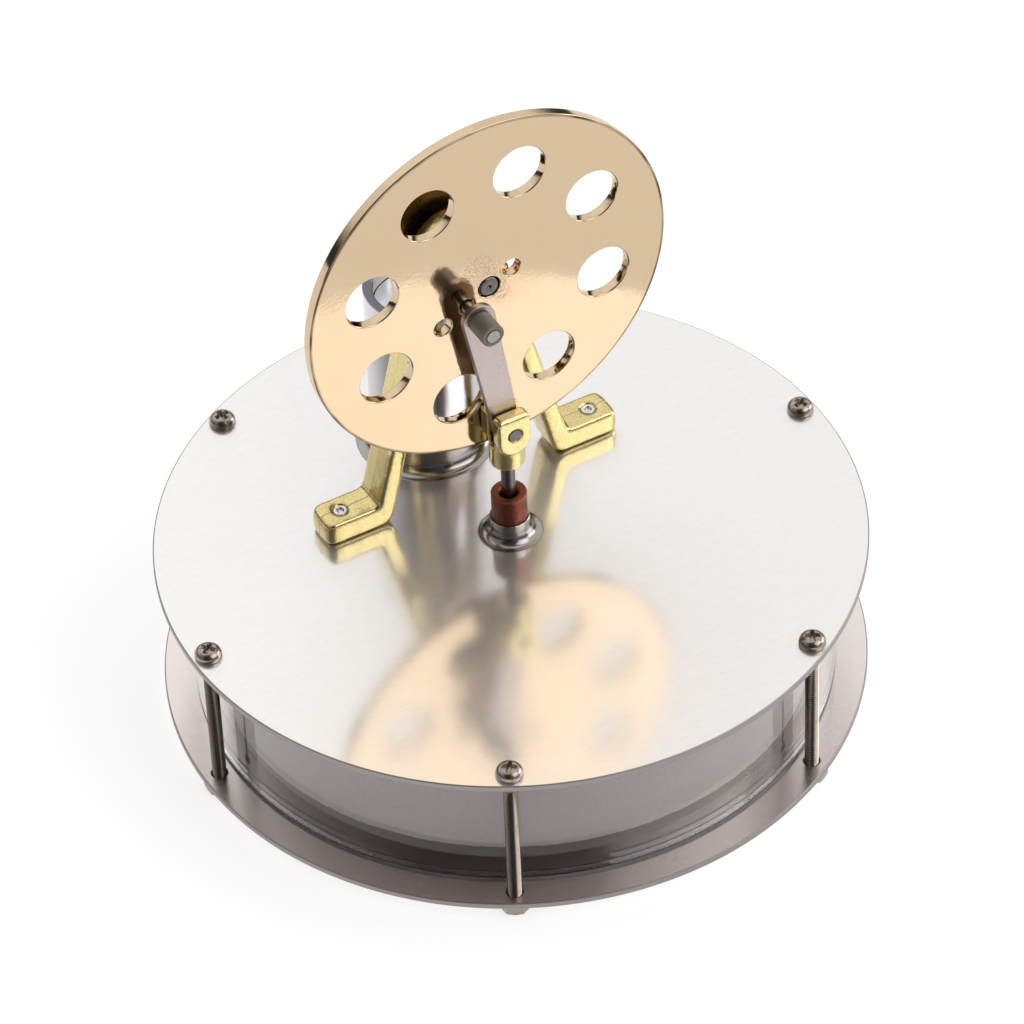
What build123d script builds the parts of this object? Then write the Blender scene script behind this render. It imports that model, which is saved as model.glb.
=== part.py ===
from build123d import *
import math
import os

# A low-temperature Stirling engine: a round chamber between two plates, with a displacer inside,
# a power cylinder on top of it and a vertical flywheel in front of an A-shaped bracket.
# Millimetres.  +Z is up, and the origin is on the surface that the engine stands on, under its centre.
# The crankshaft lies along Y and the flywheel faces -Y.  Angles about the shaft run from +X to +Z.

# Plates and chamber
plate_diameter = 100.0
plate_thickness = 1.0
plate_edge_break = 0.12
chamber_height = 21.8
ring_inset = 4.5
ring_wall = 2.5
seal_thickness = 0.4

# M2 screws and nuts that clamp the plates
screw_count = 6
screw_inset = 2.4
screw_diameter = 2.0
screw_hole_clearance = 0.2
screw_head_diameter = 3.8
screw_head_height = 1.5
screw_head_edge = 0.35
recess_span = 2.2
recess_slot = 0.55
recess_depth = 0.9
recess_taper = 12.0
nut_width = 4.0
nut_height = 1.6
thread_end_recess = 0.4

# Crank mechanism, shared by both sides
shaft_diameter = 3.0
crank_radius = 4.0
displacer_crank_angle = 208.2
crank_phase = 90.0
pin_diameter = 2.0
pin_running_clearance = 0.05
open_pivot_gap = 0.2
link_thickness = 1.0
link_head_radius = 2.45
link_foot_radius = 2.0
link_side_clearance = 0.15
sleeve_wall = 0.7
sleeve_length = 3.6
rear_sleeve_length = 0.8
sleeve_gap = 0.1
pin_end_standout = 0.1

# Displacer, its rod and its gland
displacer_gap = 1.5
displacer_floor_clearance = 1.0
displacer_ceiling_clearance = 1.2
hub_flange_diameter = 12.0
hub_flange_thickness = 0.6
hub_sleeve_wall = 1.0
rod_diameter = 2.0
rod_running_clearance = 0.04
rod_bush_wall = 1.5
rod_bush_height = 7.4
rod_bush_chamfer = 0.5
rod_collar_height = 3.1
rod_collar_lip = 0.3
rod_collar_flare = 1.6

# Clevis on the rod and the link above it
clevis_diameter = 5.0
clevis_cheek_depth = 5.3
clevis_pivot_height = 6.4
clevis_above_pivot = 3.2
clevis_shoulder_drop = 0.9
clevis_top_chamfer = 0.5
clevis_slot_below_pivot = 2.6
clevis_rod_socket = 3.0
clevis_bush_gap = 3.5
displacer_link_length = 21.2

# Flywheel
flywheel_diameter = 55.0
flywheel_thickness = 1.6
flywheel_face_y = 3.0
flywheel_hole_count = 8
flywheel_hole_diameter = 8.0
flywheel_hole_circle_radius = 18.5
flywheel_spare_hole_diameter = 2.7
flywheel_spare_hole_radius = 8.3
flywheel_edge_round = 0.2
flywheel_hub_diameter = 8.0
hub_end_play = 0.3

# Bracket and shaft bushes
bracket_front_y = 9.8
bracket_depth = 5.6
bracket_draft = 3.0
bracket_hole_span = 40.0
bracket_foot_height = 4.0
bracket_foot_overhang = 3.5
bracket_foot_corner = 1.2
bracket_leg_outer_x = 15.4
bracket_leg_width = 3.4
bracket_leg_width_top = 2.7
bracket_heel_radius = 2.4
bracket_boss_radius = 5.4
bracket_hole_mouth = 3.0
shaft_bush_wall = 1.5
shaft_bush_length = 2.2
shaft_running_clearance = 0.04
foot_screw_head_diameter = 3.6
foot_screw_head_height = 0.6
foot_screw_end_recess = 0.3

# Power side
cylinder_diameter = 16.0
cylinder_wall = 1.4
cylinder_height = 28.0
cylinder_bracket_gap = 0.3
cylinder_collar_height = 4.0
cylinder_collar_lip = 0.4
cylinder_collar_flare = 1.7
piston_length = 10.0
piston_above_wrist = 3.0
piston_running_clearance = 0.05
piston_top_margin = 2.5
piston_slot_span = 9.0
piston_slot_below_wrist = 2.8
wrist_side_clearance = 0.5
wrist_pin_inset = 0.5
crank_disc_diameter = 17.0
crank_disc_thickness = 2.0
crank_disc_hub_diameter = 6.0
crank_disc_standoff = 1.2

# Levels that follow from the sizes above
bottom_plate_z = nut_height
chamber_floor_z = bottom_plate_z + plate_thickness
chamber_ceiling_z = chamber_floor_z + chamber_height
deck_z = chamber_ceiling_z + plate_thickness
ring_radius = plate_diameter / 2 - ring_inset
screw_circle_radius = plate_diameter / 2 - screw_inset
rod_bush_radius = rod_diameter / 2 + rod_running_clearance + rod_bush_wall
rod_bush_top_z = deck_z + rod_bush_height
clevis_lowest_z = rod_bush_top_z + clevis_bush_gap
shaft_z = clevis_lowest_z + clevis_pivot_height + displacer_link_length + crank_radius
power_crank_angle = displacer_crank_angle - crank_phase


def crank_pin_place(angle):
    """X and Z of a crank pin whose crank stands at the angle, in degrees."""
    turn = math.radians(angle)
    return crank_radius * math.cos(turn), shaft_z + crank_radius * math.sin(turn)


def foot_height_under_pin(angle, length):
    """Z of a link's lower eye, which stays above X = 0, for a crank at the angle."""
    pin_x, pin_z = crank_pin_place(angle)
    return pin_z - math.sqrt(length**2 - pin_x**2)


# Rest places on the displacer side
clevis_pivot_z = foot_height_under_pin(displacer_crank_angle, displacer_link_length)
displacer_lowest_pivot_z = shaft_z - crank_radius - displacer_link_length
displacer_lift = clevis_pivot_z - displacer_lowest_pivot_z
clevis_bottom_z = clevis_pivot_z - clevis_pivot_height
displacer_bottom_z = chamber_floor_z + displacer_floor_clearance + displacer_lift
displacer_thickness = (
    chamber_height - 2 * crank_radius - displacer_floor_clearance - displacer_ceiling_clearance
)
displacer_radius = ring_radius - ring_wall - displacer_gap
displacer_top_z = displacer_bottom_z + displacer_thickness

# Rest places along the shaft and on the power side
flywheel_back_y = flywheel_face_y + flywheel_thickness
bracket_back_y = bracket_front_y + bracket_depth
bracket_middle_y = bracket_front_y + bracket_depth / 2
crank_disc_front_y = bracket_back_y + crank_disc_standoff
crank_disc_back_y = crank_disc_front_y + crank_disc_thickness
power_axis_y = bracket_back_y + cylinder_bracket_gap + cylinder_diameter / 2
cylinder_top_z = deck_z + cylinder_height
cylinder_bore_radius = cylinder_diameter / 2 - cylinder_wall
wrist_highest_z = cylinder_top_z - piston_top_margin - piston_above_wrist
power_link_length = shaft_z + crank_radius - wrist_highest_z
wrist_z = foot_height_under_pin(power_crank_angle, power_link_length)


def upright_cylinder(radius, low, high, x=0.0, y=0.0):
    """A cylinder along Z between two levels."""
    return Pos(x, y, (low + high) / 2) * Cylinder(radius, high - low)


def cylinder_along_y(radius, front, back, x=0.0, z=0.0):
    """A cylinder along Y between two Y places."""
    return Pos(x, (front + back) / 2, z) * Rot(90, 0, 0) * Cylinder(radius, back - front)


def upright_box(x_span, y_span, z_span):
    """A box from its lowest and highest X, Y and Z."""
    size = [high - low for low, high in (x_span, y_span, z_span)]
    middle = [(high + low) / 2 for low, high in (x_span, y_span, z_span)]
    return Pos(*middle) * Box(*size)


def screw_places():
    """Centres of the clamping screws, evenly round the plates' edge."""
    for n in range(screw_count):
        turn = 2 * math.pi * n / screw_count
        yield screw_circle_radius * math.cos(turn), screw_circle_radius * math.sin(turn)


def plate_disc(low):
    """A plain plate with broken edges and its six screw holes."""
    disc = upright_cylinder(plate_diameter / 2, low, low + plate_thickness)
    disc = chamfer(disc.edges(), plate_edge_break)
    hole_radius = screw_diameter / 2 + screw_hole_clearance
    for x, y in screw_places():
        disc -= upright_cylinder(hole_radius, low, low + plate_thickness, x, y)
    return disc


def bottom_plate():
    return plate_disc(bottom_plate_z)


def drawn_collar(bore_radius, height, lip, flare):
    """A collar drawn up from the top plate: a thin upright lip on a concave flare."""
    lip_radius = bore_radius + lip
    base_radius = lip_radius + flare
    side = Line((bore_radius, chamber_ceiling_z), (bore_radius, deck_z + height))
    rim = Line(side @ 1, (lip_radius, deck_z + height))
    wall = Line(rim @ 1, (lip_radius, deck_z + flare))
    curve = RadiusArc(wall @ 1, (base_radius, deck_z), -flare)
    edge = Line(curve @ 1, (base_radius, chamber_ceiling_z))
    floor = Line(edge @ 1, side @ 0)
    profile = make_face([side, rim, wall, curve, edge, floor])
    return revolve(Plane.XZ * profile, Axis.Z)


def top_plate():
    """The cold plate, with the rod bush's collar at its centre and the cylinder's collar behind."""
    plate = plate_disc(chamber_ceiling_z)
    plate += drawn_collar(rod_bush_radius, rod_collar_height, rod_collar_lip, rod_collar_flare)
    cylinder_collar = drawn_collar(
        cylinder_diameter / 2, cylinder_collar_height, cylinder_collar_lip, cylinder_collar_flare
    )
    plate += Pos(0, power_axis_y, 0) * cylinder_collar
    plate -= upright_cylinder(rod_bush_radius, chamber_ceiling_z, deck_z + rod_collar_height)
    plate -= upright_cylinder(
        cylinder_diameter / 2, chamber_ceiling_z, deck_z + cylinder_collar_height, 0, power_axis_y
    )
    foot_screw_hole = screw_diameter / 2 + screw_hole_clearance
    for side in (-1, 1):
        x = side * bracket_hole_span / 2
        plate -= upright_cylinder(foot_screw_hole, chamber_ceiling_z, deck_z, x, bracket_middle_y)
    return plate


def ring_between(low, high):
    """A tube of the chamber ring's section."""
    tube = upright_cylinder(ring_radius, low, high)
    return tube - upright_cylinder(ring_radius - ring_wall, low, high)


def chamber_ring():
    return ring_between(chamber_floor_z + seal_thickness, chamber_ceiling_z - seal_thickness)


def lower_seal():
    return ring_between(chamber_floor_z, chamber_floor_z + seal_thickness)


def upper_seal():
    return ring_between(chamber_ceiling_z - seal_thickness, chamber_ceiling_z)


def cross_recess(top):
    """A tapered cross-shaped pocket, sunk from the level given."""
    cross = Rectangle(recess_span, recess_slot) + Rectangle(recess_slot, recess_span)
    return extrude(Pos(0, 0, top) * cross, amount=-recess_depth, taper=recess_taper)


def plate_screw(x, y):
    """A pan head screw through both plates, ending inside its nut."""
    head_top = deck_z + screw_head_height
    shank = upright_cylinder(screw_diameter / 2, thread_end_recess, deck_z)
    head = upright_cylinder(screw_head_diameter / 2, deck_z, head_top)
    head = fillet(head.edges().group_by(Axis.Z)[-1], screw_head_height - screw_head_edge)
    return Pos(x, y, 0) * (shank + head - cross_recess(head_top))


def plate_nut(x, y):
    """A hexagon nut under the bottom plate, with its corners turned off."""
    corner_radius = nut_width / math.sqrt(3)
    blank = extrude(RegularPolygon(corner_radius, 6), nut_height)
    turned = upright_cylinder(corner_radius, 0, nut_height)
    turned = chamfer(turned.edges(), corner_radius - nut_width / 2)
    nut = (blank & turned) - upright_cylinder(screw_diameter / 2, 0, nut_height)
    return Pos(x, y, 0) * nut


def displacer_hub_bore():
    return rod_diameter / 2 + hub_sleeve_wall


def displacer():
    """The light foam disc, with seats for the hub's flange and its washer."""
    flange_radius = hub_flange_diameter / 2
    disc = upright_cylinder(displacer_radius, displacer_bottom_z, displacer_top_z)
    disc -= upright_cylinder(displacer_hub_bore(), displacer_bottom_z, displacer_top_z)
    disc -= upright_cylinder(flange_radius, displacer_top_z - hub_flange_thickness, displacer_top_z)
    return disc - upright_cylinder(
        flange_radius, displacer_bottom_z, displacer_bottom_z + hub_flange_thickness
    )


def displacer_hub():
    """A flanged sleeve through the foam, pressed on the rod."""
    flange_low = displacer_top_z - hub_flange_thickness
    hub = upright_cylinder(displacer_hub_bore(), displacer_bottom_z, displacer_top_z)
    hub += upright_cylinder(hub_flange_diameter / 2, flange_low, displacer_top_z)
    return hub - upright_cylinder(rod_diameter / 2, displacer_bottom_z, displacer_top_z)


def displacer_washer():
    """The washer staked on the hub's lower end."""
    high = displacer_bottom_z + hub_flange_thickness
    washer = upright_cylinder(hub_flange_diameter / 2, displacer_bottom_z, high)
    return washer - upright_cylinder(displacer_hub_bore(), displacer_bottom_z, high)


def displacer_rod():
    return upright_cylinder(
        rod_diameter / 2, displacer_bottom_z, clevis_bottom_z + clevis_rod_socket
    )


def rod_bush():
    """The gland bush in the small collar, with a chamfered mouth."""
    bore_radius = rod_diameter / 2 + rod_running_clearance
    bush = upright_cylinder(rod_bush_radius, chamber_ceiling_z, rod_bush_top_z)
    bush -= upright_cylinder(bore_radius, chamber_ceiling_z, rod_bush_top_z)
    mouth = Cone(bore_radius, bore_radius + rod_bush_chamfer, rod_bush_chamfer)
    return bush - Pos(0, 0, rod_bush_top_z - rod_bush_chamfer / 2) * mouth


def rod_clevis():
    """A round foot that grows into two flat cheeks with a slot between them."""
    half_width = clevis_diameter / 2
    shoulder_z = clevis_pivot_z - clevis_shoulder_drop
    top_z = clevis_pivot_z + clevis_above_pivot
    cheek = Pos(0, shoulder_z) * Circle(half_width)
    cheek += Pos(0, (shoulder_z + top_z) / 2) * Rectangle(clevis_diameter, top_z - shoulder_z)
    block = extrude(Plane.XZ * cheek, clevis_cheek_depth / 2, both=True)
    block = chamfer(block.edges().group_by(Axis.Z)[-1], clevis_top_chamfer)
    block += upright_cylinder(half_width, clevis_bottom_z, clevis_pivot_z)
    slot_half = link_thickness / 2 + link_side_clearance
    slot_low = clevis_pivot_z - clevis_slot_below_pivot
    block -= upright_box((-half_width, half_width), (-slot_half, slot_half), (slot_low, top_z))
    block -= upright_cylinder(rod_diameter / 2, clevis_bottom_z, clevis_bottom_z + clevis_rod_socket)
    half_depth = clevis_cheek_depth / 2
    return block - cylinder_along_y(pin_diameter / 2, -half_depth, half_depth, 0, clevis_pivot_z)


def clevis_pin():
    half_depth = clevis_cheek_depth / 2
    return cylinder_along_y(pin_diameter / 2, -half_depth, half_depth, 0, clevis_pivot_z)


def flat_link(pin_x, pin_z, foot_z, middle_y):
    """A flat tapered strip with an eye round the crank pin and one round its lower pin."""
    outline = make_hull(
        (Pos(pin_x, pin_z) * Circle(link_head_radius)).edges()
        + (Pos(0, foot_z) * Circle(link_foot_radius)).edges()
    )
    strip = Pos(0, middle_y, 0) * extrude(Plane.XZ * outline, link_thickness / 2, both=True)
    front = middle_y - link_thickness / 2
    back = middle_y + link_thickness / 2
    eye_radius = pin_diameter / 2 + pin_running_clearance
    strip -= cylinder_along_y(pin_diameter / 2, front, back, pin_x, pin_z)
    return strip - cylinder_along_y(eye_radius, front, back, 0, foot_z)


def displacer_link():
    pin_x, pin_z = crank_pin_place(displacer_crank_angle)
    return flat_link(pin_x, pin_z, clevis_pivot_z, 0.0)


def crank_pin_root():
    """The crank pin from the back of the flywheel's plate to just behind the link."""
    front = link_thickness / 2 + open_pivot_gap
    pin_x, pin_z = crank_pin_place(displacer_crank_angle)
    return cylinder_along_y(pin_diameter / 2, front, flywheel_back_y, pin_x, pin_z)


def crank_pin_end():
    """The crank pin's outer part, through the link's eye and its sleeve."""
    front = -link_thickness / 2 - sleeve_gap - sleeve_length - pin_end_standout
    pin_x, pin_z = crank_pin_place(displacer_crank_angle)
    pin = cylinder_along_y(pin_diameter / 2, front, link_thickness / 2, pin_x, pin_z)
    return chamfer(pin.edges().group_by(Axis.Y)[0], pin_end_standout)


def retaining_sleeve(front, length, angle):
    """A short clear tube pushed over a crank pin."""
    pin_x, pin_z = crank_pin_place(angle)
    back = front + length
    tube = cylinder_along_y(pin_diameter / 2 + sleeve_wall, front, back, pin_x, pin_z)
    return tube - cylinder_along_y(pin_diameter / 2, front, back, pin_x, pin_z)


def crank_pin_sleeve():
    front = -link_thickness / 2 - sleeve_gap - sleeve_length
    return retaining_sleeve(front, sleeve_length, displacer_crank_angle)


def flywheel():
    """A thin disc with a ring of round holes, two spare pin holes and a hub behind."""
    disc = cylinder_along_y(flywheel_diameter / 2, flywheel_face_y, flywheel_back_y, 0, shaft_z)
    for n in range(flywheel_hole_count):
        turn = math.radians(displacer_crank_angle + 360 * n / flywheel_hole_count)
        x = flywheel_hole_circle_radius * math.cos(turn)
        z = shaft_z + flywheel_hole_circle_radius * math.sin(turn)
        hole_radius = flywheel_hole_diameter / 2
        disc -= cylinder_along_y(hole_radius, flywheel_face_y, flywheel_back_y, x, z)
    crank_turn = math.radians(displacer_crank_angle)
    for reach in (-crank_radius, flywheel_spare_hole_radius):
        x = reach * math.cos(crank_turn)
        z = shaft_z + reach * math.sin(crank_turn)
        hole_radius = flywheel_spare_hole_diameter / 2
        disc -= cylinder_along_y(hole_radius, flywheel_face_y, flywheel_back_y, x, z)
    disc = fillet(disc.edges().filter_by(GeomType.CIRCLE), flywheel_edge_round)
    hub_end = bracket_front_y - hub_end_play
    disc += cylinder_along_y(flywheel_hub_diameter / 2, flywheel_back_y, hub_end, 0, shaft_z)
    pin_x, pin_z = crank_pin_place(displacer_crank_angle)
    disc -= cylinder_along_y(pin_diameter / 2, flywheel_face_y, flywheel_back_y, pin_x, pin_z)
    return disc - cylinder_along_y(shaft_diameter / 2, flywheel_face_y, hub_end, 0, shaft_z)


def crankshaft():
    return cylinder_along_y(shaft_diameter / 2, flywheel_face_y, crank_disc_back_y, 0, shaft_z)


def bracket_side(side):
    """One leg and foot of the bracket as a face in the XZ plane; side is -1 or 1."""
    end_x = bracket_hole_span / 2 + bracket_foot_overhang
    foot_top = deck_z + bracket_foot_height
    lean = (bracket_leg_outer_x - bracket_boss_radius) / (shaft_z - foot_top)
    heel_x = bracket_leg_outer_x - bracket_leg_width + lean * bracket_foot_height
    outline = Polyline(
        (side * end_x, deck_z),
        (side * end_x, foot_top),
        (side * bracket_leg_outer_x, foot_top),
        (side * bracket_boss_radius, shaft_z),
        (side * (bracket_boss_radius - bracket_leg_width_top), shaft_z),
        (side * heel_x, deck_z),
        close=True,
    )
    face = make_face(outline)
    corners = face.vertices()
    heel = corners.sort_by_distance((side * heel_x, deck_z))[0]
    face = fillet(heel, bracket_heel_radius)
    tip = face.vertices().sort_by_distance((side * end_x, foot_top))[0]
    return fillet(tip, bracket_foot_corner)


def drafted_both_ways(face):
    """A face in the XZ plane, grown to both sides of the bracket's middle plane with draft."""
    front_half = extrude(Plane.XZ * face, bracket_depth / 2, taper=bracket_draft)
    return Pos(0, bracket_middle_y, 0) * (front_half + mirror(front_half, Plane.XZ))


def bracket():
    """The cast A-frame: two feet, two legs and a boss, drafted both ways from its middle plane."""
    casting = drafted_both_ways(Pos(0, shaft_z) * Circle(bracket_boss_radius))
    for side in (-1, 1):
        casting += drafted_both_ways(bracket_side(side))
    bore_radius = shaft_diameter / 2 + shaft_running_clearance + shaft_bush_wall
    casting -= cylinder_along_y(bore_radius, bracket_front_y, bracket_back_y, 0, shaft_z)
    foot_top = deck_z + bracket_foot_height
    mouth_depth = (bracket_hole_mouth - screw_diameter) / 2
    mouth = Cone(screw_diameter / 2, bracket_hole_mouth / 2, mouth_depth)
    for side in (-1, 1):
        x = side * bracket_hole_span / 2
        casting -= upright_cylinder(screw_diameter / 2, deck_z, foot_top, x, bracket_middle_y)
        casting -= Pos(x, bracket_middle_y, foot_top - mouth_depth / 2) * mouth
    return casting


def bracket_screw(side):
    """A screw from inside the chamber, up into a foot; its end stays just below the foot's top."""
    x = side * bracket_hole_span / 2
    end_z = deck_z + bracket_foot_height - foot_screw_end_recess
    head_low = chamber_ceiling_z - foot_screw_head_height
    screw = upright_cylinder(screw_diameter / 2, chamber_ceiling_z, end_z, x, bracket_middle_y)
    head_radius = foot_screw_head_diameter / 2
    return screw + upright_cylinder(head_radius, head_low, chamber_ceiling_z, x, bracket_middle_y)


def shaft_bush(front):
    """A plain bush in the bracket's boss, for the crankshaft."""
    bore_radius = shaft_diameter / 2 + shaft_running_clearance
    back = front + shaft_bush_length
    bush = cylinder_along_y(bore_radius + shaft_bush_wall, front, back, 0, shaft_z)
    return bush - cylinder_along_y(bore_radius, front, back, 0, shaft_z)


def crank_disc():
    """The rear crank: a disc with a short hub towards the bracket."""
    hub_front = bracket_back_y + hub_end_play
    disc = cylinder_along_y(
        crank_disc_diameter / 2, crank_disc_front_y, crank_disc_back_y, 0, shaft_z
    )
    disc = fillet(disc.edges().filter_by(GeomType.CIRCLE), flywheel_edge_round)
    disc += cylinder_along_y(crank_disc_hub_diameter / 2, hub_front, crank_disc_front_y, 0, shaft_z)
    pin_x, pin_z = crank_pin_place(power_crank_angle)
    disc -= cylinder_along_y(
        pin_diameter / 2, crank_disc_front_y, crank_disc_back_y, pin_x, pin_z
    )
    return disc - cylinder_along_y(shaft_diameter / 2, hub_front, crank_disc_back_y, 0, shaft_z)


def power_pin_root():
    """The rear crank pin from its disc to just in front of the power link."""
    back = power_axis_y - link_thickness / 2 - open_pivot_gap
    pin_x, pin_z = crank_pin_place(power_crank_angle)
    return cylinder_along_y(pin_diameter / 2, crank_disc_front_y, back, pin_x, pin_z)


def power_pin_end():
    """The rear crank pin's outer part, through the power link's eye and its sleeve."""
    front = power_axis_y - link_thickness / 2
    back = power_axis_y + link_thickness / 2 + sleeve_gap + rear_sleeve_length + pin_end_standout
    pin_x, pin_z = crank_pin_place(power_crank_angle)
    pin = cylinder_along_y(pin_diameter / 2, front, back, pin_x, pin_z)
    return chamfer(pin.edges().group_by(Axis.Y)[-1], pin_end_standout)


def power_pin_sleeve():
    front = power_axis_y + link_thickness / 2 + sleeve_gap
    return retaining_sleeve(front, rear_sleeve_length, power_crank_angle)


def power_link():
    pin_x, pin_z = crank_pin_place(power_crank_angle)
    return flat_link(pin_x, pin_z, wrist_z, power_axis_y)


def power_cylinder():
    tube = upright_cylinder(
        cylinder_diameter / 2, chamber_ceiling_z, cylinder_top_z, 0, power_axis_y
    )
    return tube - upright_cylinder(
        cylinder_bore_radius, chamber_ceiling_z, cylinder_top_z, 0, power_axis_y
    )


def power_piston():
    """A plain piston with a slot from above for the link and a cross hole for the wrist pin."""
    radius = cylinder_bore_radius - piston_running_clearance
    top = wrist_z + piston_above_wrist
    body = upright_cylinder(radius, top - piston_length, top, 0, power_axis_y)
    slot_half = link_thickness / 2 + wrist_side_clearance
    body -= upright_box(
        (-piston_slot_span / 2, piston_slot_span / 2),
        (power_axis_y - slot_half, power_axis_y + slot_half),
        (wrist_z - piston_slot_below_wrist, top),
    )
    hole = cylinder_along_y(
        pin_diameter / 2, power_axis_y - radius, power_axis_y + radius, 0, wrist_z
    )
    return body - hole


def wrist_pin():
    half_length = cylinder_bore_radius - piston_running_clearance - wrist_pin_inset
    return cylinder_along_y(
        pin_diameter / 2, power_axis_y - half_length, power_axis_y + half_length, 0, wrist_z
    )


def all_parts():
    """Every piece of the engine by its name."""
    parts = {
        "bottom_plate": bottom_plate(),
        "top_plate": top_plate(),
        "chamber_ring": chamber_ring(),
        "lower_seal": lower_seal(),
        "upper_seal": upper_seal(),
        "displacer": displacer(),
        "displacer_hub": displacer_hub(),
        "displacer_washer": displacer_washer(),
        "displacer_rod": displacer_rod(),
        "rod_bush": rod_bush(),
        "rod_clevis": rod_clevis(),
        "clevis_pin": clevis_pin(),
        "displacer_link": displacer_link(),
        "crank_pin_root": crank_pin_root(),
        "crank_pin_end": crank_pin_end(),
        "crank_pin_sleeve": crank_pin_sleeve(),
        "flywheel": flywheel(),
        "crankshaft": crankshaft(),
        "bracket": bracket(),
        "shaft_bush_front": shaft_bush(bracket_front_y),
        "shaft_bush_rear": shaft_bush(bracket_back_y - shaft_bush_length),
        "bracket_screw_left": bracket_screw(-1),
        "bracket_screw_right": bracket_screw(1),
        "crank_disc": crank_disc(),
        "power_pin_root": power_pin_root(),
        "power_pin_end": power_pin_end(),
        "power_pin_sleeve": power_pin_sleeve(),
        "power_link": power_link(),
        "power_cylinder": power_cylinder(),
        "power_piston": power_piston(),
        "wrist_pin": wrist_pin(),
    }
    for number, (x, y) in enumerate(screw_places(), start=1):
        parts[f"plate_screw_{number}"] = plate_screw(x, y)
        parts[f"plate_nut_{number}"] = plate_nut(x, y)
    return parts


os.makedirs("parts", exist_ok=True)
for name, shape in all_parts().items():
    export_step(shape, f"parts/{name}.step")
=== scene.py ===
"""Finished pieces, materials and stage of a small Stirling engine model, built around its CAD frame.

Metres throughout.  +Z is up, the crankshaft lies along Y and the flywheel faces -Y.
"""

import math

import bmesh
import bpy
from mathutils import Matrix, Vector


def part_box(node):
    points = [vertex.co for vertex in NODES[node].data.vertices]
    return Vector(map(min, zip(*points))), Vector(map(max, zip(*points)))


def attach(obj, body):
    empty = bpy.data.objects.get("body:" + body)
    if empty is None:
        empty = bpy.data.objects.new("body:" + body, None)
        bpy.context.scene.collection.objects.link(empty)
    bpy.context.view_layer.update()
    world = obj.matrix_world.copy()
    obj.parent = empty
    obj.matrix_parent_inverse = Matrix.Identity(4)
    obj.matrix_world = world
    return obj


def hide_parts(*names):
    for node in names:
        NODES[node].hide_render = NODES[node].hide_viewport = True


bl_info = {
    "name": "Stirling Engine Model",
    "version": (1, 0, 0),
    "blender": (4, 5, 0),
    "location": "3D View > Sidebar > Engine",
    "description": "Builds the finished pieces, materials and stage of a small Stirling engine",
    "category": "Object",
}

MM = 0.001

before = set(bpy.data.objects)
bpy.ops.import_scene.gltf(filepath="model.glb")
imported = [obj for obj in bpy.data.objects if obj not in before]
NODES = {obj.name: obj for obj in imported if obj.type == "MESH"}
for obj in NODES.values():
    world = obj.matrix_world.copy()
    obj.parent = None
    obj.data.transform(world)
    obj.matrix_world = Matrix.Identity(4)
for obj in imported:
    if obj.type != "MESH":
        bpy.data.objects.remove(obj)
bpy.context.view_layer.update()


# ---------------------------------------------------------------- sizes read from the frame


def low(node):
    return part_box(node)[0]


def high(node):
    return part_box(node)[1]


def middle(node):
    lowest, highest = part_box(node)
    return (lowest + highest) / 2


def width(node, axis):
    lowest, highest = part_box(node)
    return highest[axis] - lowest[axis]


PLATE_RADIUS = width("bottom_plate", 0) / 2
PLATE_THICKNESS = width("bottom_plate", 2)
CEILING_Z = high("upper_seal").z
DECK_Z = CEILING_Z + PLATE_THICKNESS
SHAFT_Z = middle("flywheel").z
SHAFT_RADIUS = width("crankshaft", 0) / 2
PIN_RADIUS = width("crank_pin_root", 0) / 2
ROD_RADIUS = width("displacer_rod", 0) / 2
WHEEL_RADIUS = width("flywheel", 0) / 2
SCREW_COUNT = 6


# ---------------------------------------------------------------- colours and settings


def linear(hex_colour):
    """An sRGB hex colour as the linear RGBA that shaders take."""
    channels = [int(hex_colour[i : i + 2], 16) / 255 for i in (1, 3, 5)]
    curve = [c / 12.92 if c <= 0.04045 else ((c + 0.055) / 1.055) ** 2.4 for c in channels]
    return (*curve, 1.0)


def colour_setting(name, description, hex_colour):
    return bpy.props.FloatVectorProperty(
        name=name,
        description=description,
        subtype="COLOR",
        size=4,
        min=0.0,
        max=1.0,
        default=linear(hex_colour),
    )


def length_setting(name, description, default):
    return bpy.props.FloatProperty(
        name=name, description=description, default=default, min=0.0, unit="LENGTH", precision=5
    )


def angle_setting(name, description, degrees):
    return bpy.props.FloatProperty(
        name=name, description=description, default=math.radians(degrees), subtype="ANGLE"
    )


class EngineSizes(bpy.types.PropertyGroup):
    """Sizes of the details that the finished pieces add to the CAD frame."""

    plate_edge_round: length_setting(
        "Plate edge", "Break on the plates' sheared edges", 0.18 * MM
    )
    wheel_edge_round: length_setting(
        "Wheel edge", "Rounding of the flywheel's rim and holes under the plating", 0.2 * MM
    )
    casting_edge_round: length_setting(
        "Casting edge", "Rounding of the bracket's outer foot corners", 1.4 * MM
    )
    link_edge_round: length_setting("Link edge", "Tumbled edge of the blanked links", 0.12 * MM)
    thread_pitch: length_setting("Thread pitch", "Pitch of the clamping screws' thread", 0.4 * MM)
    thread_depth: length_setting("Thread depth", "Depth of the screws' thread", 0.22 * MM)
    recess_span: length_setting("Recess span", "Width across the cross recess", 2.5 * MM)
    collar_raggedness: length_setting(
        "Collar raggedness", "How far the drawn collars' lips are torn", 0.12 * MM
    )
    foam_raggedness: length_setting(
        "Foam raggedness", "How far the displacer's cut lower edge is torn", 0.6 * MM
    )


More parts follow.
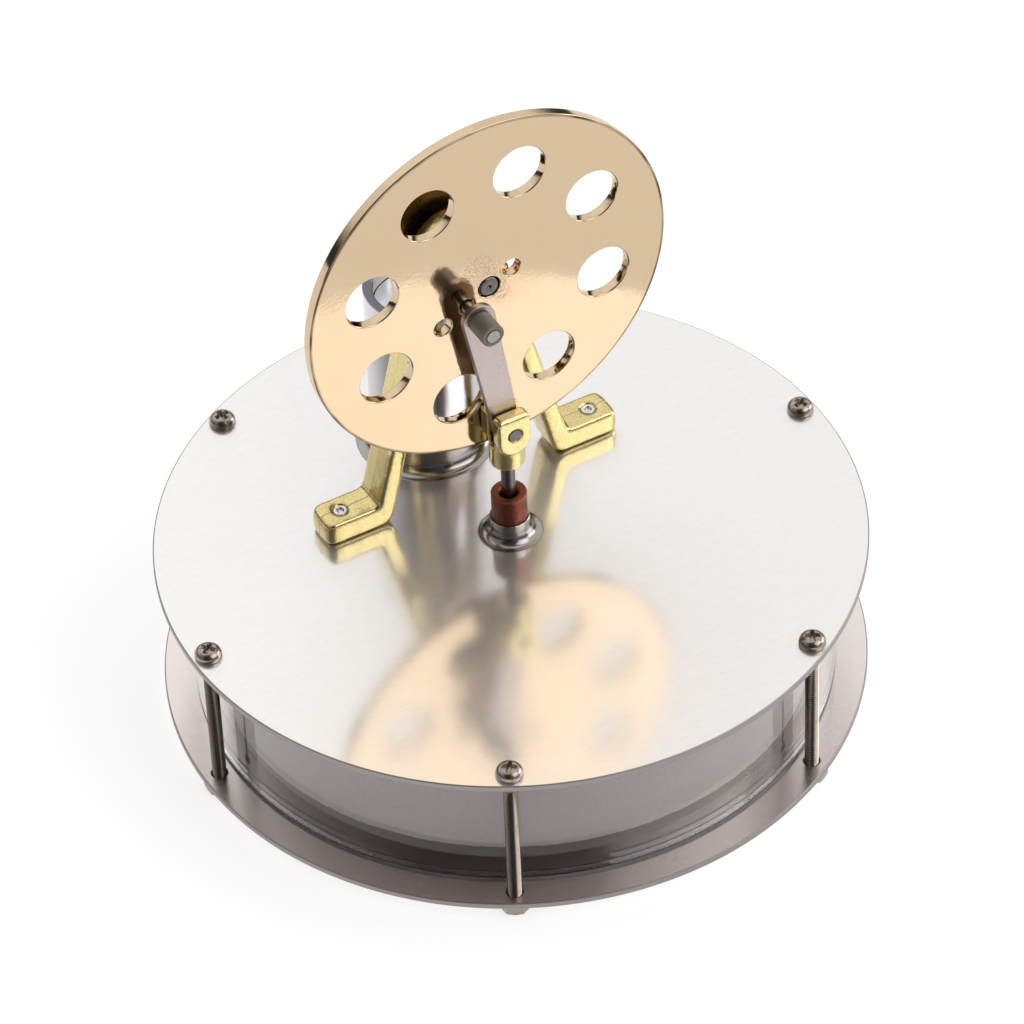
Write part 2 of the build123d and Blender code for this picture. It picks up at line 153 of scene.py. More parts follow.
class EngineColours(bpy.types.PropertyGroup):
    """Base colours of the engine's finishes."""

    gold_plate: colour_setting("Gold plate", "Bright gold plating of the flywheel", "#CFB899")
    gold_casting: colour_setting("Gold casting", "Yellower gold of the bracket", "#DCCA90")
    bronze: colour_setting("Bush bronze", "Sintered bronze of the gland bush", "#6C3A29")
    aluminium: colour_setting("Aluminium", "Rolled aluminium of the plates", "#F1EEEC")
    link_steel: colour_setting("Link steel", "Satin steel of the links", "#B4A8A4")
    dark_steel: colour_setting("Dark steel", "Ground steel of the rod and shaft", "#6A6462")
    nickel: colour_setting("Nickel", "Dark nickel of the clamping screws", "#A3978D")
    foam: colour_setting("Foam", "Hard foam of the displacer", "#DCCAC6")


class EngineStage(bpy.types.PropertyGroup):
    """Where the camera and the floor are."""

    azimuth: angle_setting("Azimuth", "Camera's turn about Z from looking along +Y", -28.128)
    elevation: angle_setting("Elevation", "Camera's height angle", 42.937)
    roll: angle_setting("Roll", "Camera's turn about its own axis", -2.511)
    distance: length_setting("Distance", "Camera's distance from its target", 790.74 * MM)
    floor_colour: colour_setting("Floor", "Pale floor under the engine", "#A8A8A9")


# ---------------------------------------------------------------- shader nodes


def add_node(tree, kind, settings, inputs):
    """Adds a node, sets its settings, and sets or links each of its inputs."""
    node = tree.nodes.new(kind)
    for name, value in settings.items():
        setattr(node, name, value)
    for name, value in inputs.items():
        if isinstance(value, bpy.types.NodeSocket):
            tree.links.new(value, node.inputs[name])
        else:
            node.inputs[name].default_value = value
    return node


def blank_material(name):
    """A new material, its empty node tree and its pattern coordinates in metres."""
    material = bpy.data.materials.new(name)
    material.use_nodes = True
    tree = material.node_tree
    tree.nodes.clear()
    place = add_node(tree, "ShaderNodeTexCoord", {}, {}).outputs["Object"]
    return material, tree, place


def close_material(tree, shader):
    add_node(tree, "ShaderNodeOutputMaterial", {}, {"Surface": shader})


def per_mm(size):
    """A texture scale whose features are this many millimetres across."""
    return 1.0 / (size * MM)


def noise(tree, place, size, detail, roughness=0.5):
    """A noise pattern with features of this size in millimetres."""
    inputs = {"Vector": place, "Scale": per_mm(size), "Detail": detail, "Roughness": roughness}
    return add_node(tree, "ShaderNodeTexNoise", {}, inputs).outputs[0]


def ramp(tree, value, start, end, least=0.0, most=1.0, smooth=False):
    """Least at the start value, most at the end value, and held beyond them."""
    settings = {"interpolation_type": "SMOOTHSTEP"} if smooth else {}
    inputs = {"Value": value, "From Min": start, "From Max": end, "To Min": least, "To Max": most}
    return add_node(tree, "ShaderNodeMapRange", settings, inputs).outputs[0]


def maths(tree, operation, *values, clamp=False):
    """One sum on plain values."""
    settings = {"operation": operation, "use_clamp": clamp}
    return add_node(tree, "ShaderNodeMath", settings, dict(enumerate(values))).outputs[0]


def vector_maths(tree, operation, *vectors):
    """One sum on vectors: its outputs are "Vector" and "Value"."""
    settings = {"operation": operation}
    return add_node(tree, "ShaderNodeVectorMath", settings, dict(enumerate(vectors))).outputs


def coordinate(tree, place, axis):
    """One coordinate of a place, by the number of its axis."""
    return add_node(tree, "ShaderNodeSeparateXYZ", {}, {0: place}).outputs[axis]


def bump(tree, height, rise, under=None):
    """Relief of this rise in millimetres, on top of other relief if there is any under it."""
    inputs = {"Height": height, "Distance": rise * MM}
    if under is not None:
        inputs["Normal"] = under
    return add_node(tree, "ShaderNodeBump", {}, inputs).outputs[0]


def blend(tree, share, first, second, kind="MIX"):
    """The first colour, with this share of the second."""
    settings = {"data_type": "RGBA", "blend_type": kind}
    inputs = {"Factor": share, "A": first, "B": second}
    return add_node(tree, "ShaderNodeMix", settings, inputs).outputs[2]


METAL = {"Metallic": 1.0}


def surface(tree, colour, roughness, relief, others):
    """The shader of a surface, with its other inputs by name."""
    inputs = {"Base Color": colour, "Roughness": roughness, "Normal": relief, **others}
    return add_node(tree, "ShaderNodeBsdfPrincipled", {}, inputs).outputs["BSDF"]


def reach_from_axis(tree, place, x, z):
    """How far each point is from a line along Y, in metres."""
    centred = vector_maths(tree, "ADD", place, (-x, 0.0, -z))["Vector"]
    flat = vector_maths(tree, "MULTIPLY", centred, (1.0, 0.0, 1.0))["Vector"]
    return vector_maths(tree, "LENGTH", flat)["Value"]


# ---------------------------------------------------------------- materials


def gold_plate_material(colours):
    """Steel disc, polished and gold plated: a mirror with a slight orange peel."""
    material, tree, place = blank_material("gold_plated_disc")
    peel = noise(tree, place, 0.6, 1.0)
    ripple = noise(tree, place, 6.0, 1.0)
    # The plating is rougher where the disc is staked on its hub.
    from_stake = reach_from_axis(tree, place, -1.0 * MM, SHAFT_Z + 2.5 * MM)
    near_stake = ramp(tree, from_stake, 5.5 * MM, 2.0 * MM)
    pits = maths(tree, "MULTIPLY", noise(tree, place, 0.35, 2.0), near_stake)
    waved = bump(tree, peel, 0.006, bump(tree, ripple, 0.03))
    pitted = bump(tree, pits, 0.025, waved)
    haze = ramp(tree, ripple, 0.3, 0.7, 0.05, 0.12)
    # The colour is darker in a patchy band just inside the rim's edge.
    from_shaft = reach_from_axis(tree, place, 0.0, SHAFT_Z)
    rim = ramp(tree, from_shaft, WHEEL_RADIUS - 0.5 * MM, WHEEL_RADIUS - 0.3 * MM)
    flank = ramp(tree, from_shaft, WHEEL_RADIUS - 0.02 * MM, WHEEL_RADIUS - 0.1 * MM)
    band_patches = ramp(tree, ripple, 0.4, 0.6, 0.4, 0.95)
    rim_dark_band = maths(tree, "MULTIPLY", maths(tree, "MULTIPLY", rim, flank), band_patches)
    tone = blend(tree, rim_dark_band, colours.gold_plate, linear("#4A3418"))
    close_material(tree, surface(tree, tone, haze, pitted, METAL))
    return material


def speckled_metal(
    name, colour, dark, roughness, speck_mm, speck_share, wave_mm, wave_height, parting_y=None
):
    """A metal whose surface is waved by casting or tumbling and carries fine darker specks.

    A casting can have a parting line, a fine ridge at one Y.
    """
    material, tree, place = blank_material(name)
    specks = noise(tree, place, speck_mm, 3.0, 0.65)
    mask = ramp(tree, specks, 0.5 + speck_share, 0.72, 0.0, 0.8)
    tone = blend(tree, mask, colour, linear(dark))
    wave = noise(tree, place, wave_mm, 2.0)
    relief = bump(tree, specks, 0.006, bump(tree, wave, wave_height))
    if parting_y is not None:
        # The line wanders by a quarter of a millimetre and is a fifth of one wide.
        wander, half_width = 0.25 * MM, 0.1 * MM
        centre = maths(tree, "MULTIPLY_ADD", wave, wander, -parting_y - wander / 2)
        off = maths(tree, "ADD", coordinate(tree, place, 1), centre)
        reach = maths(tree, "ABSOLUTE", off)
        ridge = ramp(tree, reach, 0.0, half_width, 1.0, 0.0, smooth=True)
        relief = bump(tree, ridge, 0.04, relief)
    haze = ramp(tree, specks, 0.35, 0.7, roughness * 0.8, roughness * 1.35)
    close_material(tree, surface(tree, tone, haze, relief, METAL))
    return material


def streaked_metal(name, colour, roughness, streaks, depth, veil=0.0):
    """A metal brushed, drawn or ground in set directions.

    Each streak is (turn about Z in degrees, scale along X, Y, Z): the smallest scale is the way it runs.
    The veil is the share of light that fine rubbing scatters wide over the sharper reflection.
    """
    material, tree, place = blank_material(name)
    relief = total = None
    for turn, scale in streaks:
        inputs = {"Vector": place, "Rotation": (0.0, 0.0, math.radians(turn)), "Scale": scale}
        across = add_node(tree, "ShaderNodeMapping", {}, inputs).outputs[0]
        lines = noise(tree, across, 1.0, 3.0, 0.7)
        relief = bump(tree, lines, depth, relief)
        if total is None:
            total = lines
        else:
            total = maths(tree, "MULTIPLY", maths(tree, "ADD", total, lines), 0.5)
    cloud = noise(tree, place, 14.0, 3.0)
    uneven = maths(tree, "MULTIPLY_ADD", cloud, 0.6, total)
    haze = ramp(tree, uneven, 0.55, 1.05, roughness * 0.75, roughness * 1.3)
    shade = ramp(tree, total, 0.35, 0.65, 0.94, 1.0)
    tone = blend(tree, 1.0, colour, shade, "MULTIPLY")
    shader = surface(tree, tone, haze, relief, METAL)
    if veil > 0.0:
        wide = surface(tree, tone, 0.5, relief, METAL)
        inputs = {0: veil, 1: shader, 2: wide}
        shader = add_node(tree, "ShaderNodeMixShader", {}, inputs).outputs[0]
    close_material(tree, shader)
    return material


def bronze_material(colours):
    """Sintered bronze bush: copper brown and slightly grainy, with a painted highlight on its top round
    the mouth.
    """
    material, tree, place = blank_material("sintered_bronze_bush")
    grain = noise(tree, place, 0.35, 4.0, 0.7)
    patches = noise(tree, place, 2.2, 2.0)
    top = high("rod_bush").z
    # Painted highlight: the bush's top, which faces the lights, is painted in the lighter copper.
    mouth = ramp(tree, coordinate(tree, place, 2), top - 0.45 * MM, top - 0.1 * MM)
    grainy = maths(tree, "MULTIPLY_ADD", grain, -2.4, 1.9)
    grain_and_painted_highlight = maths(tree, "SUBTRACT", grainy, mouth, clamp=True)
    tone = blend(tree, grain_and_painted_highlight, linear("#8E5039"), colours.bronze)
    haze = ramp(tree, patches, 0.4, 0.65, 0.34, 0.5)
    close_material(tree, surface(tree, tone, haze, bump(tree, grain, 0.02), {"Metallic": 0.85}))
    return material


def clear_plastic(name, colour, roughness, index, clearness, ripple_mm, detail, ripple_height):
    """A see-through plastic with a ripple on its surface."""
    material, tree, place = blank_material(name)
    relief = bump(tree, noise(tree, place, ripple_mm, detail), ripple_height)
    others = {"IOR": index, "Transmission Weight": clearness}
    close_material(tree, surface(tree, linear(colour), roughness, relief, others))
    return material


def soft_surface(name, light, dark, roughness, grain_mm, grain_height):
    """A matte non-metal with a fine grain in its tone and its surface."""
    material, tree, place = blank_material(name)
    grain = noise(tree, place, grain_mm, 4.0, 0.6)
    inputs = {"Vector": place, "Scale": per_mm(grain_mm * 1.4)}
    cells = add_node(tree, "ShaderNodeTexVoronoi", {}, inputs).outputs["Distance"]
    tone = blend(tree, ramp(tree, grain, 0.35, 0.7), light, linear(dark))
    relief = bump(tree, cells, grain_height)
    close_material(tree, surface(tree, tone, roughness, relief, {"Specular IOR Level": 0.3}))
    return material


def make_materials(colours):
    """Every finish by its name."""
    gold, steel, dark = colours.gold_casting, colours.link_steel, colours.dark_steel
    parting = middle("bracket").y
    # Each row: name, colour, colour of its specks, roughness, size and share of the specks, length and
    # height of the waves (sizes in millimetres), and the Y of a parting line.
    speckled = {
        # Zinc die castings under thin gold: waved by the mould, specked where the plating is thin.
        # The bracket's mould parts along its middle, which leaves a fine ridge.
        "gold_casting": ("gold_plated_die_casting", gold, "#4A3C16", 0.18, 0.17, 0.03, 1.5, 0.06),
        "bracket_casting": (
            "gold_plated_bracket_casting", gold, "#4A3C16", 0.18, 0.17, 0.03, 1.7, 0.06, parting
        ),
        # The rear disc is plated gold like the wheel; its dark colour is painted shade, for the shadow
        # it sits in behind the wheel.
        "gold_painted_shade": (
            "rear_disc_gold_painted_shade", linear("#6E5A38"), "#2E2412", 0.3, 0.4, 0.02, 1.2, 0.02
        ),
        # Mild steel blanked from sheet and tumbled: satin, with fine grey pits.
        "link_steel": ("tumbled_blanked_steel", steel, "#6E6462", 0.34, 0.16, 0.03, 0.9, 0.012),
        "dark_steel": ("oiled_ground_steel", dark, "#2A2624", 0.26, 0.2, 0.05, 1.0, 0.008),
        # Silver steel pin with a light ground finish.
        "pin_steel": ("ground_pin_steel", linear("#9A938C"), "#4A423A", 0.27, 0.2, 0.04, 1.0, 0.01),
        "zinc_screw": ("bright_zinc_screw", linear("#DAD9D6"), "#8E8A84", 0.22, 0.3, 0.06, 0.8, 0.02),
        # Nickel plated screws: darker than zinc, with a warm cast and greasy specks.
        "nickel_screw": ("nickel_plated_screw", colours.nickel, "#3A322C", 0.2, 0.3, 0.08, 0.9, 0.02),
        # The thread's roots are painted dark: painted shade in the grooves, where little light reaches.
        "thread_root_painted_shade": ("root_of_thread_painted_shade", linear("#3A332E"), "#1E1A17", 0.45, 0.3, 0.08, 0.9, 0.02),
    }
    # Each row: name, colour, roughness, streaks, depth of the streaks in millimetres, and the veil.
    streaked = {
        # Rolled and hand-rubbed sheet: fine scratches that cross at a shallow angle.
        "plate_aluminium": (
            "rubbed_aluminium_sheet",
            colours.aluminium,
            0.14,
            [(62.0, (0.3, 2.2, 0.8)), (30.0, (0.5, 1.8, 0.8)), (-25.0, (0.6, 2.4, 0.8))],
            0.0022,
            0.4,
        ),
        # The hot plate is left as rolled: duller, with a fine grain.
        "rolled_aluminium": (
            "rolled_aluminium_sheet",
            linear("#EAE1DD"),
            0.22,
            [(20.0, (0.5, 2.6, 0.8)), (-50.0, (0.9, 2.2, 0.8))],
            0.003,
            0.15,
        ),
        # The collars are drawn from the same sheet; their darker colour is painted shade, for the dark
        # surroundings they reflect.
        "collar_aluminium_painted_shade": (
            "drawn_collar_painted_shade", linear("#A29C98"), 0.18, [(0.0, (0.6, 0.6, 3.0))], 0.006
        ),
        # The tube's end is a dull saw cut; its darker colour is painted shade, for the dark parts its
        # flat end reflects.
        "tube_end_painted_shade": ("saw_cut_end_painted_shade", linear("#77737A"), 0.38, [(30.0, (0.4, 3.0, 1.0))], 0.01),
        # The sheared edge has coarse upright lines from the cut. Its colour is painted far darker than
        # the sheet: painted shade for the dark line along the plates' far rim.
        "sheared_edge_painted_shade": (
            "sheared_aluminium_painted_shade",
            linear("#9A9593"),
            0.4,
            [(0.0, (1.6, 1.6, 0.3)), (0.0, (3.4, 3.4, 3.4))],
            0.03,
        ),
        "hub_aluminium": (
            "turned_aluminium", linear("#D2D2D3"), 0.3, [(0.0, (0.4, 0.4, 3.0))], 0.006
        ),
        # Cold-drawn tube, polished lengthwise.
        "cylinder_steel": (
            "drawn_bright_tube", linear("#D4D2D6"), 0.16, [(0.0, (3.0, 3.0, 0.12))], 0.004
        ),
    }
    finishes = {key: speckled_metal(*row) for key, row in speckled.items()}
    finishes.update({key: streaked_metal(*row) for key, row in streaked.items()})
    finishes["gold_plate"] = gold_plate_material(colours)
    finishes["bronze"] = bronze_material(colours)
    # Cast acrylic tube, polished: clear, with the faintest ripple from the mould.
    finishes["acrylic"] = clear_plastic(
        "clear_cast_acrylic", "#FBFCFD", 0.0, 1.49, 1.0, 9.0, 0.0, 0.02
    )
    # Soft plastic tube: hazy, cut with a knife.
    finishes["sleeve"] = clear_plastic("clear_soft_tube", "#A9A19B", 0.28, 1.43, 0.65, 0.6, 2.0, 0.01)
    # Hard pale foam sheet cut with a hot wire: tiny cells, no gloss.
    finishes["foam"] = soft_surface("hot_wire_cut_foam", colours.foam, "#C9B7B3", 0.95, 0.22, 0.02)
    finishes["seal"] = soft_surface(
        "grey_rubber_seal", linear("#8D8D90"), "#77777A", 0.7, 0.4, 0.01
    )
    return finishes


MATERIALS = {}


# ---------------------------------------------------------------- modelling by hand


def deselect_all():
    if bpy.context.object and bpy.context.object.mode != "OBJECT":
        bpy.ops.object.mode_set(mode="OBJECT")
    bpy.ops.object.select_all(action="DESELECT")


def take(piece):
    """Makes the piece the only selected and active object."""
    deselect_all()
    piece.select_set(True)
    bpy.context.view_layer.objects.active = piece


def name_piece(name):
    piece = bpy.context.object
    piece.name = name
    piece.data.name = name
    return piece


def turned(name, profile, segments=96, bored=False):
    """A piece turned about Z from a profile of (radius, height) points, in metres.

    A bored profile is closed back to its first point; any other is capped at both ends.
    """
    deselect_all()
    radius, height = profile[0]
    bpy.ops.mesh.primitive_circle_add(
        vertices=segments, radius=radius, fill_type="NOTHING" if bored else "NGON"
    )
    piece = name_piece(name)
    bpy.ops.object.mode_set(mode="EDIT")
    bpy.ops.mesh.select_all(action="SELECT")
    bpy.ops.transform.translate(value=(0.0, 0.0, height))
    for next_radius, next_height in profile[1:]:
        bpy.ops.mesh.extrude_region_move(
            TRANSFORM_OT_translate={"value": (0.0, 0.0, next_height - height)}
        )
        grow = next_radius / radius
        bpy.ops.transform.resize(value=(grow, grow, 1.0), center_override=(0.0, 0.0, next_height))
        radius, height = next_radius, next_height
    if bored:
        bpy.ops.mesh.select_all(action="DESELECT")
        bpy.ops.mesh.select_non_manifold()
        bpy.ops.mesh.bridge_edge_loops()
    bpy.ops.mesh.select_all(action="SELECT")
    bpy.ops.mesh.normals_make_consistent(inside=False)
    bpy.ops.object.mode_set(mode="OBJECT")
    return piece


def set_down(piece, place=(0.0, 0.0, 0.0), turn=(0.0, 0.0, 0.0)):
    """Puts the piece in its place and writes that place into its mesh."""
    take(piece)
    piece.location = place
    piece.rotation_euler = turn
    bpy.ops.object.transform_apply(location=True, rotation=True, scale=True)
    return piece


FRONTWARDS = (math.radians(90.0), 0.0, 0.0)
SMOOTH_BELOW = math.radians(40.0)
MERGE_WITHIN = 0.001 * MM


def finish_modifier(piece, kind, **settings):
    """Adds a modifier, sets it and applies it."""
    take(piece)
    bpy.ops.object.modifier_add(type=kind)
    modifier = piece.modifiers[-1]
    for name, value in settings.items():
        setattr(modifier, name, value)
    bpy.ops.object.modifier_apply(modifier=modifier.name)


def cut_away(piece, tool):
    """Cuts the tool's shape out of the piece and removes the tool."""
    finish_modifier(piece, "BOOLEAN", operation="DIFFERENCE", solver="EXACT", object=tool)
    bpy.data.objects.remove(tool)


def soften(piece, edge_round, segments=3, angle=32.0):
    """Rounds the sharp edges and keeps the flats flat under smooth shading."""
    if edge_round > 0.0:
        finish_modifier(
            piece,
            "BEVEL",
            width=edge_round,
            segments=segments,
            limit_method="ANGLE",
            angle_limit=math.radians(angle),
            use_clamp_overlap=False,
        )
    take(piece)
    bpy.ops.object.shade_smooth_by_angle(angle=SMOOTH_BELOW)
    finish_modifier(piece, "WEIGHTED_NORMAL", keep_sharp=True, weight=80)


def round_bar(name, radius, start, end, segments=48, edge_round=0.0):
    """A plain turned bar between two heights."""
    bar = turned(name, [(radius, start), (radius, end)], segments)
    if edge_round > 0.0:
        soften(bar, edge_round, 2)
    return bar


def join_pieces(name, pieces):
    take(pieces[0])
    for piece in pieces[1:]:
        piece.select_set(True)
    bpy.ops.object.join()
    return name_piece(name)


def copy_piece(piece, name):
    """A copy with its own mesh."""
    copy = bpy.data.objects.new(name, piece.data.copy())
    copy.data.name = name
    bpy.context.scene.collection.objects.link(copy)
    return copy


def cleaned_copy(node, name):
    """A copy of a CAD node, with its triangles merged into whole faces."""
    copy = copy_piece(NODES[node], name)
    copy.data.materials.clear()
    take(copy)
    bpy.ops.mesh.customdata_custom_splitnormals_clear()
    bpy.ops.object.mode_set(mode="EDIT")
    bpy.ops.mesh.select_all(action="SELECT")
    bpy.ops.mesh.remove_doubles(threshold=MERGE_WITHIN)
    bpy.ops.mesh.dissolve_limited(angle_limit=math.radians(0.6))
    bpy.ops.mesh.normals_make_consistent(inside=False)
    bpy.ops.object.mode_set(mode="OBJECT")
    return copy


def cast(piece, grain, passes, waves):
    """Gives a piece the soft edges and the slight waves of a die casting."""
    take(piece)
    piece.data.remesh_voxel_size = grain
    bpy.ops.object.voxel_remesh()
    finish_modifier(piece, "SMOOTH", factor=1.0, iterations=passes)
    cloud = bpy.data.textures.new(piece.name + "_waves", "CLOUDS")
    cloud.noise_scale = 1.8 * MM
    finish_modifier(
        piece, "DISPLACE", texture=cloud, strength=waves, mid_level=0.5, texture_coords="LOCAL"
    )
    take(piece)
    bpy.ops.object.shade_smooth()


def rounded_block(name, lowest, highest, corner_round):
    """A block whose four upright corners are rounded."""
    deselect_all()
    bpy.ops.mesh.primitive_cube_add(size=1.0)
    block = name_piece(name)
    block.scale = highest - lowest
    set_down(block, (lowest + highest) / 2)
    weights = block.data.attributes.new("bevel_weight_edge", "FLOAT", "EDGE")
    for edge in block.data.edges:
        start, end = (block.data.vertices[index].co for index in edge.vertices)
        weights.data[edge.index].value = 1.0 if abs(start.z - end.z) > MM else 0.0
    finish_modifier(block, "BEVEL", width=corner_round, segments=8, limit_method="WEIGHT")
    return block


def hand_over(piece, finish, body, slot, *nodes):
    """Gives the piece its finish and its place in the frame."""
    if piece.data.materials:
        for index, held in enumerate(piece.data.materials):
            if held is None:
                piece.data.materials[index] = MATERIALS[finish]
    else:
        piece.data.materials.append(MATERIALS[finish])
    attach(piece, body)
    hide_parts(*nodes)


def repaint(finish, *nodes):
    """A CAD node that is right as it is gets its finish."""
    for node in nodes:
        mesh = NODES[node].data
        mesh.materials.clear()
        mesh.materials.append(MATERIALS[finish])


def edge_material(piece, finish, edge_finish, picks):
    """Two finishes on one piece: the faces that picks() accepts take the edge finish."""
    piece.data.materials.clear()
    piece.data.materials.append(MATERIALS[finish])
    piece.data.materials.append(MATERIALS[edge_finish])
    for face in piece.data.polygons:
        face.material_index = 1 if picks(face) else 0


def roughen(piece, group, axis, amount, size):
    """Tears the vertices of a group up and down by a seeded cloud pattern."""
    cloud = bpy.data.textures.new(piece.name + "_tear", "CLOUDS")
    cloud.noise_scale = size
    cloud.noise_depth = 3
    finish_modifier(
        piece,
        "DISPLACE",
        texture=cloud,
        vertex_group=group,
        direction=axis,
        strength=amount,
        mid_level=0.5,
        texture_coords="LOCAL",
    )


def group_vertices(piece, name, weigh):
    """A vertex group whose weights come from each vertex's place."""
    group = piece.vertex_groups.new(name=name)
    for vertex in piece.data.vertices:
        weight = weigh(vertex.co)
        if weight > 0.0:
            group.add([vertex.index], weight, "REPLACE")


# ---------------------------------------------------------------- plates and chamber


def screw_places():
    """Centres of the clamping screws' axes, with their numbers."""
    for number in range(1, SCREW_COUNT + 1):
        centre = middle(f"plate_screw_{number}")
        yield number, centre.x, centre.y


def sheet_disc(name, start, holes, finish, sizes):
    """A sheared sheet disc with round holes, given as (x, y, radius)."""
    disc = turned(name, [(PLATE_RADIUS, start), (PLATE_RADIUS, start + PLATE_THICKNESS)], 288)
    tools = []
    for number, (x, y, radius) in enumerate(holes):
        tool = round_bar(f"hole_{number}", radius, start - MM, start + 2 * MM, 64)
        tools.append(set_down(tool, (x, y, 0.0)))
    cut_away(disc, join_pieces("holes", tools))
    soften(disc, sizes.plate_edge_round, 3)
    # The edge faces take the darker colour: painted shade.
    edge_material(disc, finish, "sheared_edge_painted_shade", lambda face: abs(face.normal.z) < 0.97)
    return disc


def arc_points(centre, radius, start, end, steps):
    """Points on an arc of a profile, by angle in degrees."""
    for n in range(steps + 1):
        turn = math.radians(start + (end - start) * n / steps)
        yield centre[0] + radius * math.cos(turn), centre[1] + radius * math.sin(turn)


def drawn_collar(name, bore, lip, flare, rise, sizes):
    """A collar drawn up out of the plate: a torn lip on a polished concave flare."""
    lip_radius = bore + lip
    flare_centre = (lip_radius + flare, DECK_Z + flare)
    outer = [(lip_radius + flare + 0.12 * MM, DECK_Z - 0.05 * MM)]
    outer += list(arc_points(flare_centre, flare, 270.0, 180.0, 12))
    wall_steps = 5
    wall_low = DECK_Z + flare
    wall_high = DECK_Z + rise - 0.08 * MM
    for n in range(1, wall_steps + 1):
        outer.append((lip_radius, wall_low + (wall_high - wall_low) * n / wall_steps))
    outer += [(lip_radius - 0.1 * MM, DECK_Z + rise), (bore + 0.02 * MM, DECK_Z + rise - 0.02 * MM)]
    inner = [(bore, DECK_Z + rise - 0.3 * MM), (bore, CEILING_Z)]
    base = [(lip_radius + flare + 0.12 * MM, CEILING_Z)]
    collar = turned(name, outer + inner + base, 160, bored=True)
    group_vertices(
        collar, "lip", lambda place: 1.0 if place.z > DECK_Z + rise - 0.2 * MM else 0.0
    )
    roughen(collar, "lip", "Z", -sizes.collar_raggedness, 0.9 * MM)
    soften(collar, 0.0)
    return collar


class ENGINE_OT_plates(bpy.types.Operator):
    """The two sheared aluminium plates and the collars drawn up from the top one"""

    bl_idname = "engine.plates"
    bl_label = "Plates"

    def execute(self, context):
        sizes = context.scene.engine_sizes
        clearance = 1.1 * MM
        screw_holes = [(x, y, clearance) for _, x, y in screw_places()]
        bottom = sheet_disc(
            "hot_plate", low("bottom_plate").z, screw_holes, "rolled_aluminium", sizes
        )
        hand_over(bottom, "rolled_aluminium", "chassis", "plate_aluminium", "bottom_plate")

        bush_radius = width("rod_bush", 0) / 2
        cylinder_radius = width("power_cylinder", 0) / 2
        cylinder_y = middle("power_cylinder").y
        small_collar = (bush_radius, 0.3 * MM, 1.6 * MM, 3.1 * MM)
        large_collar = (cylinder_radius, 0.4 * MM, 1.7 * MM, 4.0 * MM)
        holes = list(screw_holes)
        for side in ("left", "right"):
            foot = middle(f"bracket_screw_{side}")
            holes.append((foot.x, foot.y, clearance))
        holes.append((0.0, 0.0, sum(small_collar[:3])))
        holes.append((0.0, cylinder_y, sum(large_collar[:3])))
        top = sheet_disc("cold_plate", CEILING_Z, holes, "plate_aluminium", sizes)
        # The collars take the aluminium painted dark: painted shade.
        collar = drawn_collar("gland_collar", *small_collar, sizes)
        hand_over(collar, "collar_aluminium_painted_shade", "chassis", "plate_aluminium", "top_plate")
        big = drawn_collar("cylinder_collar", *large_collar, sizes)
        set_down(big, (0.0, cylinder_y, 0.0))
        hand_over(big, "collar_aluminium_painted_shade", "chassis", "plate_aluminium", "top_plate")
        hand_over(top, "plate_aluminium", "chassis", "plate_aluminium", "top_plate")
        return {"FINISHED"}


def tube(name, node, outer, inner, segments, edge_round):
    """A bored tube over a CAD node's height."""
    start, end = low(node).z, high(node).z
    profile = [(outer, start), (outer, end), (inner, end), (inner, start)]
    piece = turned(name, profile, segments, bored=True)
    soften(piece, edge_round, 3)
    return piece


class ENGINE_OT_chamber(bpy.types.Operator):
    """The clear ring between the plates and its two seals"""

    bl_idname = "engine.chamber"
    bl_label = "Chamber ring"

    def execute(self, context):
        outer = width("chamber_ring", 0) / 2
        wall = 2.5 * MM
        ring = tube("clear_ring", "chamber_ring", outer, outer - wall, 288, 0.15 * MM)
        hand_over(ring, "acrylic", "chassis", "clear_acrylic", "chamber_ring")
        repaint("seal", "lower_seal", "upper_seal")
        return {"FINISHED"}


class ENGINE_OT_displacer(bpy.types.Operator):
    """The foam displacer with its torn lower edge, its hub and its rod"""

    bl_idname = "engine.displacer"
    bl_label = "Displacer"

    def execute(self, context):
        sizes = context.scene.engine_sizes
        radius = width("displacer", 0) / 2
        bottom, top = low("displacer").z, high("displacer").z
        seat, seat_depth = width("displacer_hub", 0) / 2, 0.6 * MM
        bore = 2.0 * MM
        edge = 0.5 * MM
        profile = [(seat, bottom), (radius - 6 * MM, bottom), (radius - 3 * MM, bottom)]
        profile += [(radius - reach * MM, bottom) for reach in (2.0, 1.4, 0.9, 0.5, 0.2)]
        profile += [(radius, bottom + rise * MM) for rise in (0.2, 0.5, 0.9, 1.4, 2.0, 2.8, 4.0)]
        profile += list(arc_points((radius - edge, top - edge), edge, 0.0, 90.0, 5))
        profile += [(seat, top), (seat, top - seat_depth), (bore, top - seat_depth)]
        profile += [(bore, bottom + seat_depth), (seat, bottom + seat_depth)]
        foam = turned("foam_displacer", profile, 720, bored=True)

        def near_edge(place):
            reach = math.hypot(place.x, place.y)
            return max(0.0, 1.0 - abs(place.z - bottom) / (2.2 * MM)) * max(
                0.0, 1.0 - (radius - reach) / (2.2 * MM)
            )

        group_vertices(foam, "cut_edge", near_edge)
        roughen(foam, "cut_edge", "Z", sizes.foam_raggedness, 0.8 * MM)
        soften(foam, 0.0)
        hand_over(foam, "foam", "displacer_unit", "displacer_foam", "displacer")
        repaint("hub_aluminium", "displacer_hub", "displacer_washer")
        rod = round_bar(
            "rod", ROD_RADIUS, low("displacer_rod").z, high("displacer_rod").z, 64, 0.15 * MM
        )
        hand_over(rod, "dark_steel", "displacer_unit", "dark_steel", "displacer_rod")
        return {"FINISHED"}


